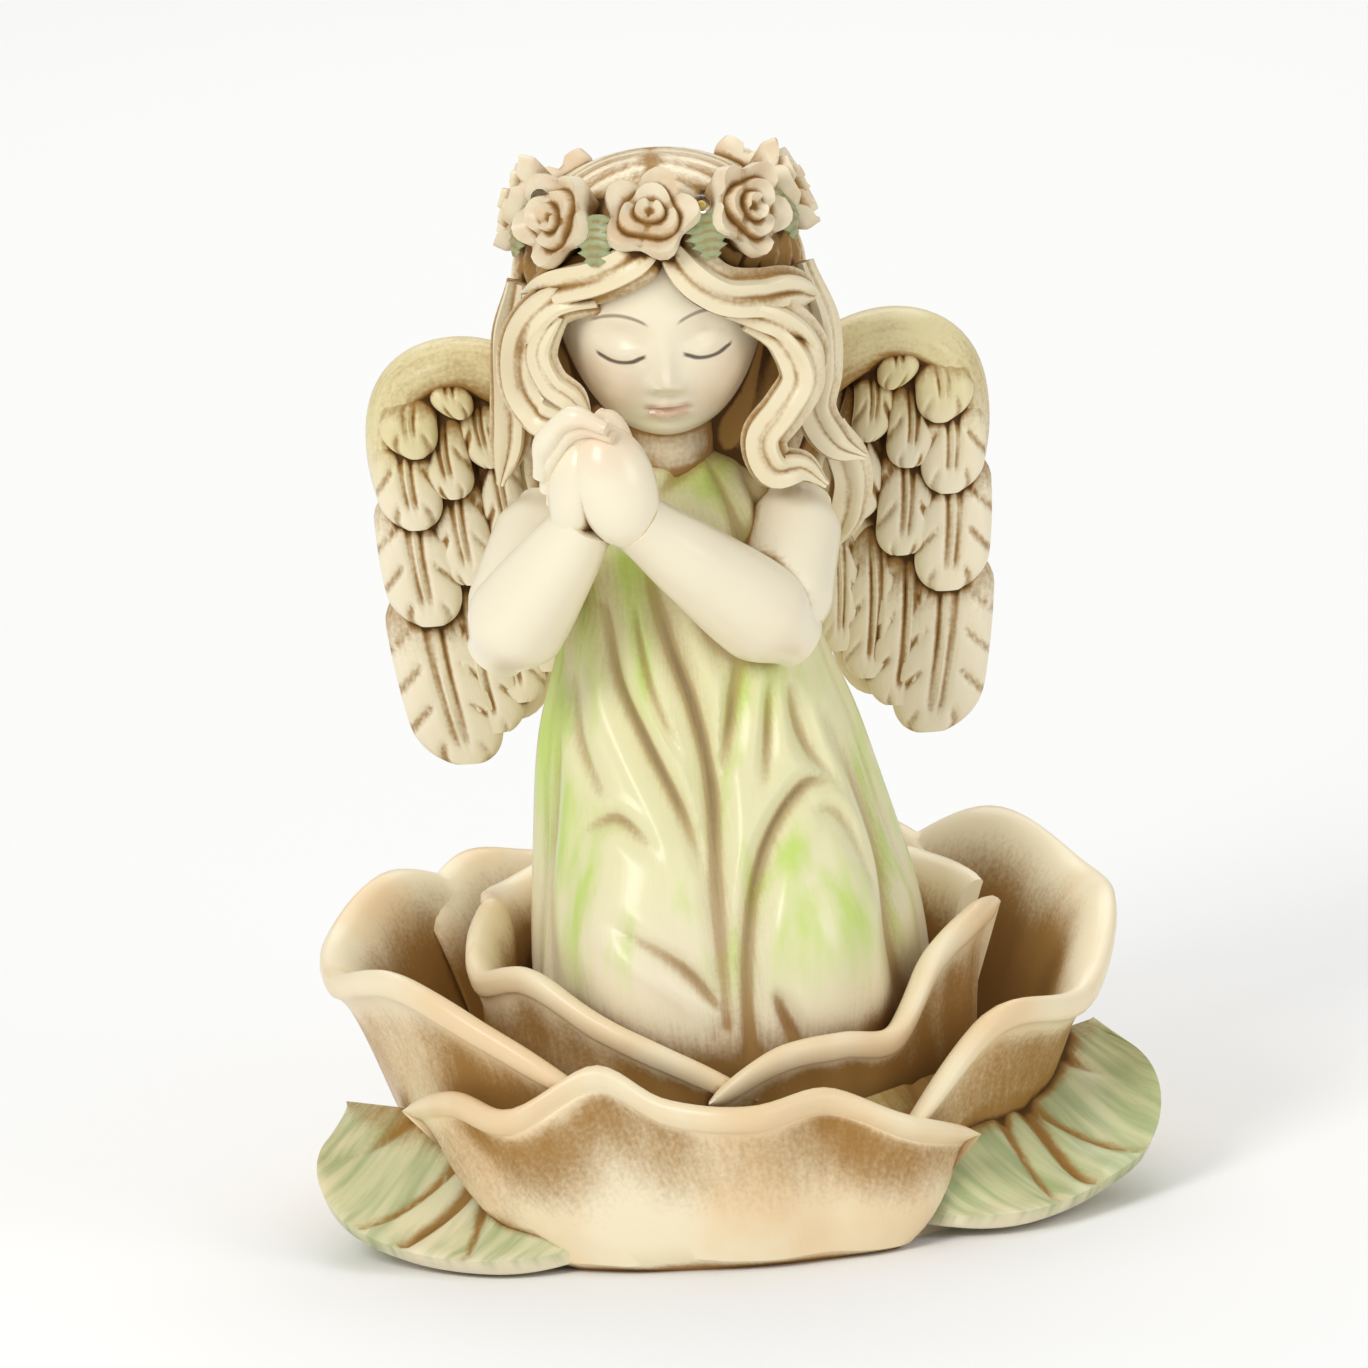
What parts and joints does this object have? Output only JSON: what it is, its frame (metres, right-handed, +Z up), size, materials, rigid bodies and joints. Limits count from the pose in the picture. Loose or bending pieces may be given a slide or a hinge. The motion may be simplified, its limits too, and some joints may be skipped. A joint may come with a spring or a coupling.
{
  "type": "garden angel statue",
  "caption": "Painted cast-resin statue of a winged girl kneeling in an open rose, hands clasped under the chin, with a rose wreath that holds clear light beads.",
  "frame": {"origin": "on the underside, under the middle of the rose", "axes": "+Z up, -Y the way the figure faces, +X to the viewer's right"},
  "size_m": [0.2044, 0.186, 0.2581],
  "materials": {
    "painted_resin": "satin ivory paint with a brown wash in the recesses",
    "clear_lens": "clear and glossy"
  },
  "bodies": {
    "root": {"angel_statue": "painted_resin", "light_bead_left": "clear_lens", "light_bead_right": "clear_lens"}
  },
  "joints": []
}
